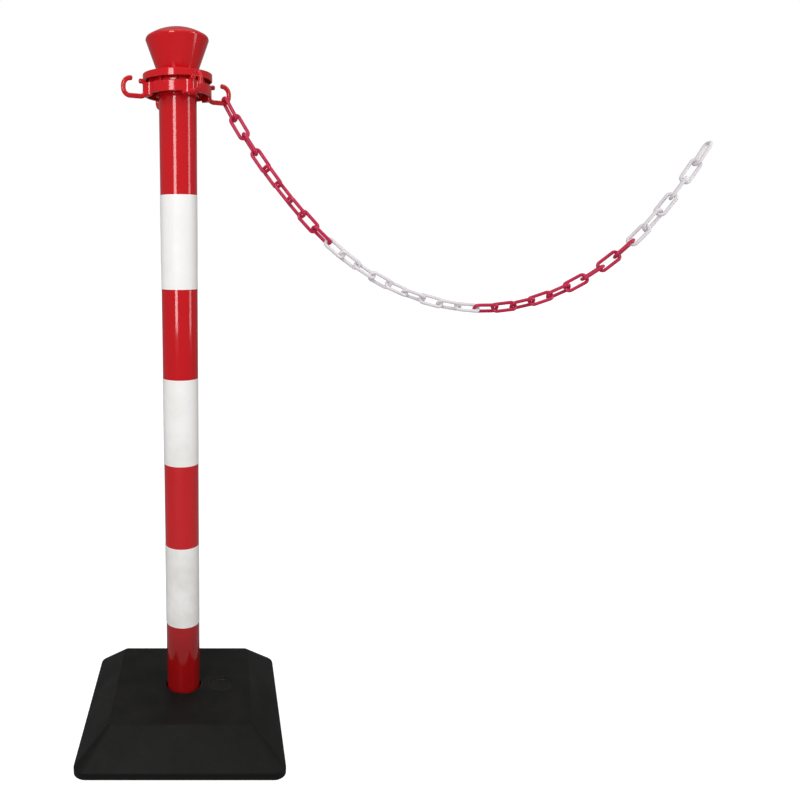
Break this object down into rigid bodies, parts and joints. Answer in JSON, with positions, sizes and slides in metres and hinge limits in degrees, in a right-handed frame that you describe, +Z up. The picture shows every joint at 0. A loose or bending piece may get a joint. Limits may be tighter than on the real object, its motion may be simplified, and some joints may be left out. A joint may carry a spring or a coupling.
{
  "type": "chain stanchion",
  "caption": "Red and white striped plastic barrier post on a square black ballast-filled base, with a domed knob, a swivelling ring of chain hooks and a hanging red and white link chain.",
  "frame": {"origin": "on the floor, on the axis of the pole, in the middle of the base's underside", "axes": "+Z up along the pole; +X towards the side the chain hangs to; +Y towards the back"},
  "size_m": [0.8765, 0.296, 0.995],
  "materials": {
    "base_black": "satin black moulded polyethylene",
    "black_plastic": "moulded black plastic",
    "sand": "dry packed sand",
    "red_plastic": "glossy red plastic",
    "white_film": "smooth white film",
    "chain_red": "slightly translucent crimson plastic",
    "chain_white": "slightly translucent white plastic"
  },
  "bodies": {
    "base": {"base_shell": "base_black", "sand_ballast": "sand"},
    "filler_plug": {"filler_plug": "base_black"},
    "pole": {"pole_tube": "red_plastic", "white_band_lower": "white_film", "white_band_middle": "white_film", "white_band_upper": "white_film", "pole_foot_plug": "black_plastic", "knob_body": "red_plastic", "knob_lid": "red_plastic"},
    "hook_ring": {"hook_ring": "red_plastic"},
    "chain_link_01": {"chain_link_01": "chain_red"},
    "chain_link_02": {"chain_link_02": "chain_red"},
    "chain_link_03": {"chain_link_03": "chain_red"},
    "chain_link_04": {"chain_link_04": "chain_red"},
    "chain_link_05": {"chain_link_05": "chain_red"},
    "chain_link_06": {"chain_link_06": "chain_red"},
    "chain_link_07": {"chain_link_07": "chain_red"},
    "chain_link_08": {"chain_link_08": "chain_red"},
    "chain_link_09": {"chain_link_09": "chain_red"},
    "chain_link_10": {"chain_link_10": "chain_white"},
    "chain_link_11": {"chain_link_11": "chain_white"},
    "chain_link_12": {"chain_link_12": "chain_white"},
    "chain_link_13": {"chain_link_13": "chain_white"},
    "chain_link_14": {"chain_link_14": "chain_white"},
    "chain_link_15": {"chain_link_15": "chain_white"},
    "chain_link_16": {"chain_link_16": "chain_white"},
    "chain_link_17": {"chain_link_17": "chain_white"},
    "chain_link_18": {"chain_link_18": "chain_white"},
    "chain_link_19": {"chain_link_19": "chain_red"},
    "chain_link_20": {"chain_link_20": "chain_red"},
    "chain_link_21": {"chain_link_21": "chain_red"},
    "chain_link_22": {"chain_link_22": "chain_red"},
    "chain_link_23": {"chain_link_23": "chain_red"},
    "chain_link_24": {"chain_link_24": "chain_red"},
    "chain_link_25": {"chain_link_25": "chain_red"},
    "chain_link_26": {"chain_link_26": "chain_red"},
    "chain_link_27": {"chain_link_27": "chain_red"},
    "chain_link_28": {"chain_link_28": "chain_white"},
    "chain_link_29": {"chain_link_29": "chain_white"},
    "chain_link_30": {"chain_link_30": "chain_white"},
    "chain_link_31": {"chain_link_31": "chain_white"},
    "chain_link_32": {"chain_link_32": "chain_white"},
    "chain_link_33": {"chain_link_33": "chain_white"}
  },
  "joints": [
    {"name": "pole_slide", "type": "slide", "parent": "base", "child": "pole", "axis": [0, 0, 1], "range_m": [0, 0.06]},
    {"name": "filler_plug_slide", "type": "slide", "parent": "base", "child": "filler_plug", "axis": [0, 0, 1], "range_m": [0, 0.02]},
    {"name": "hook_ring_turn", "type": "hinge", "parent": "pole", "child": "hook_ring", "pos_m": [0, 0, 0.9213], "axis": [0, 0, 1], "continuous": true},
    {"name": "chain_joint_01", "type": "hinge", "parent": "hook_ring", "child": "chain_link_01", "pos_m": [0.06086, 0.02973, 0.91426], "axis": [-0.2891, 0.9426, -0.1669], "range_deg": [-50, 35]},
    {"name": "chain_joint_02", "type": "hinge", "parent": "chain_link_01", "child": "chain_link_02", "pos_m": [0.07671, 0.02973, 0.88681], "axis": [0.2891, -0.9426, 0.1669], "range_deg": [-30, 30]},
    {"name": "chain_joint_03", "type": "hinge", "parent": "chain_link_02", "child": "chain_link_03", "pos_m": [0.09083, 0.02973, 0.86438], "axis": [-0.8271, -0.2207, -0.5169], "range_deg": [-30, 30]},
    {"name": "chain_joint_04", "type": "hinge", "parent": "chain_link_03", "child": "chain_link_04", "pos_m": [0.10572, 0.02973, 0.84246], "axis": [-0.0867, 0.9945, -0.0585], "range_deg": [-30, 30]},
    {"name": "chain_joint_05", "type": "hinge", "parent": "chain_link_04", "child": "chain_link_05", "pos_m": [0.12133, 0.02973, 0.82105], "axis": [0.74, 0.4067, 0.5357], "range_deg": [-30, 30]},
    {"name": "chain_joint_06", "type": "hinge", "parent": "chain_link_05", "child": "chain_link_06", "pos_m": [0.13764, 0.02973, 0.80016], "axis": [0.5287, -0.7431, 0.4101], "range_deg": [-30, 30]},
    {"name": "chain_joint_07", "type": "hinge", "parent": "chain_link_06", "child": "chain_link_07", "pos_m": [0.15464, 0.02973, 0.77983], "axis": [-0.5148, -0.7431, -0.4274], "range_deg": [-30, 30]},
    {"name": "chain_joint_08", "type": "hinge", "parent": "chain_link_07", "child": "chain_link_08", "pos_m": [0.1723, 0.02973, 0.76007], "axis": [-0.3907, 0.8526, -0.3469], "range_deg": [-30, 30]},
    {"name": "chain_joint_09", "type": "hinge", "parent": "chain_link_08", "child": "chain_link_09", "pos_m": [0.1906, 0.02973, 0.7409], "axis": [0.7007, 0.2588, 0.6649], "range_deg": [-30, 30]},
    {"name": "chain_joint_10", "type": "hinge", "parent": "chain_link_09", "child": "chain_link_10", "pos_m": [0.21003, 0.02973, 0.72288], "axis": [0.2114, -0.9511, 0.2254], "range_deg": [-30, 30]},
    {"name": "chain_joint_11", "type": "hinge", "parent": "chain_link_10", "child": "chain_link_11", "pos_m": [0.23048, 0.02973, 0.70602], "axis": [-0.5471, -0.52, -0.6559], "range_deg": [-30, 30]},
    {"name": "chain_joint_12", "type": "hinge", "parent": "chain_link_11", "child": "chain_link_12", "pos_m": [0.25188, 0.02973, 0.69038], "axis": [-0.4181, 0.7112, -0.5651], "range_deg": [-30, 30]},
    {"name": "chain_joint_13", "type": "hinge", "parent": "chain_link_12", "child": "chain_link_13", "pos_m": [0.27439, 0.02973, 0.6764], "axis": [0.2828, 0.848, 0.4482], "range_deg": [-30, 30]},
    {"name": "chain_joint_14", "type": "hinge", "parent": "chain_link_13", "child": "chain_link_14", "pos_m": [0.29789, 0.02973, 0.66413], "axis": [0.3981, -0.5299, 0.7488], "range_deg": [-30, 30]},
    {"name": "chain_joint_15", "type": "hinge", "parent": "chain_link_14", "child": "chain_link_15", "pos_m": [0.32222, 0.02973, 0.65363], "axis": [-0.2848, -0.7071, -0.6472], "range_deg": [-30, 30]},
    {"name": "chain_joint_16", "type": "hinge", "parent": "chain_link_15", "child": "chain_link_16", "pos_m": [0.34727, 0.02973, 0.64496], "axis": [-0.1769, 0.848, -0.4995], "range_deg": [-30, 30]},
    {"name": "chain_joint_17", "type": "hinge", "parent": "chain_link_16", "child": "chain_link_17", "pos_m": [0.37295, 0.02973, 0.63838], "axis": [0.2171, 0.5299, 0.8198], "range_deg": [-30, 30]},
    {"name": "chain_joint_18", "type": "hinge", "parent": "chain_link_17", "child": "chain_link_18", "pos_m": [0.39907, 0.02973, 0.63391], "axis": [0.1181, -0.7431, 0.6586], "range_deg": [-30, 30]},
    {"name": "chain_joint_19", "type": "hinge", "parent": "chain_link_18", "child": "chain_link_19", "pos_m": [0.42547, 0.02973, 0.63158], "axis": [-0.059, -0.788, -0.6128], "range_deg": [-30, 30]},
    {"name": "chain_joint_20", "type": "hinge", "parent": "chain_link_19", "child": "chain_link_20", "pos_m": [0.45198, 0.02973, 0.63221], "axis": [0.0093, 0.7071, -0.707], "range_deg": [-30, 30]},
    {"name": "chain_joint_21", "type": "hinge", "parent": "chain_link_20", "child": "chain_link_21", "pos_m": [0.47825, 0.02973, 0.63573], "axis": [-0.0862, 0.7071, 0.7018], "range_deg": [-30, 30]},
    {"name": "chain_joint_22", "type": "hinge", "parent": "chain_link_21", "child": "chain_link_22", "pos_m": [0.50399, 0.02973, 0.64208], "axis": [-0.1621, -0.7071, 0.6883], "range_deg": [-30, 30]},
    {"name": "chain_joint_23", "type": "hinge", "parent": "chain_link_22", "child": "chain_link_23", "pos_m": [0.52888, 0.02973, 0.65119], "axis": [0.236, -0.7071, -0.6665], "range_deg": [-30, 30]},
    {"name": "chain_joint_24", "type": "hinge", "parent": "chain_link_23", "child": "chain_link_24", "pos_m": [0.5529, 0.02973, 0.66239], "axis": [0.2932, 0.7071, -0.6434], "range_deg": [-30, 30]},
    {"name": "chain_joint_25", "type": "hinge", "parent": "chain_link_24", "child": "chain_link_25", "pos_m": [0.57586, 0.02973, 0.67564], "axis": [-0.4368, 0.4617, 0.772], "range_deg": [-30, 30]},
    {"name": "chain_joint_26", "type": "hinge", "parent": "chain_link_25", "child": "chain_link_26", "pos_m": [0.59758, 0.02973, 0.69084], "axis": [-0.0984, -0.9848, 0.1431], "range_deg": [-30, 30]},
    {"name": "chain_joint_27", "type": "hinge", "parent": "chain_link_26", "child": "chain_link_27", "pos_m": [0.61788, 0.02973, 0.70787], "axis": [0.6222, -0.2079, -0.7548], "range_deg": [-30, 30]},
    {"name": "chain_joint_28", "type": "hinge", "parent": "chain_link_27", "child": "chain_link_28", "pos_m": [0.63693, 0.02973, 0.72631], "axis": [0.3242, 0.8829, -0.3396], "range_deg": [-30, 30]},
    {"name": "chain_joint_29", "type": "hinge", "parent": "chain_link_28", "child": "chain_link_29", "pos_m": [0.65458, 0.02973, 0.74608], "axis": [-0.5332, 0.6947, 0.4829], "range_deg": [-30, 30]},
    {"name": "chain_joint_30", "type": "hinge", "parent": "chain_link_29", "child": "chain_link_30", "pos_m": [0.67075, 0.02973, 0.76708], "axis": [-0.6824, -0.5, 0.5332], "range_deg": [-30, 30]},
    {"name": "chain_joint_31", "type": "hinge", "parent": "chain_link_30", "child": "chain_link_31", "pos_m": [0.68604, 0.02973, 0.78872], "axis": [0.6082, -0.6648, -0.4338], "range_deg": [-30, 30]},
    {"name": "chain_joint_32", "type": "hinge", "parent": "chain_link_31", "child": "chain_link_32", "pos_m": [0.70038, 0.02973, 0.81101], "axis": [0.3322, 0.9182, -0.2157], "range_deg": [-30, 30]},
    {"name": "chain_joint_33", "type": "hinge", "parent": "chain_link_32", "child": "chain_link_33", "pos_m": [0.71373, 0.02973, 0.8339], "axis": [-0.8584, 0.0872, 0.5056], "range_deg": [-30, 30]}
  ]
}
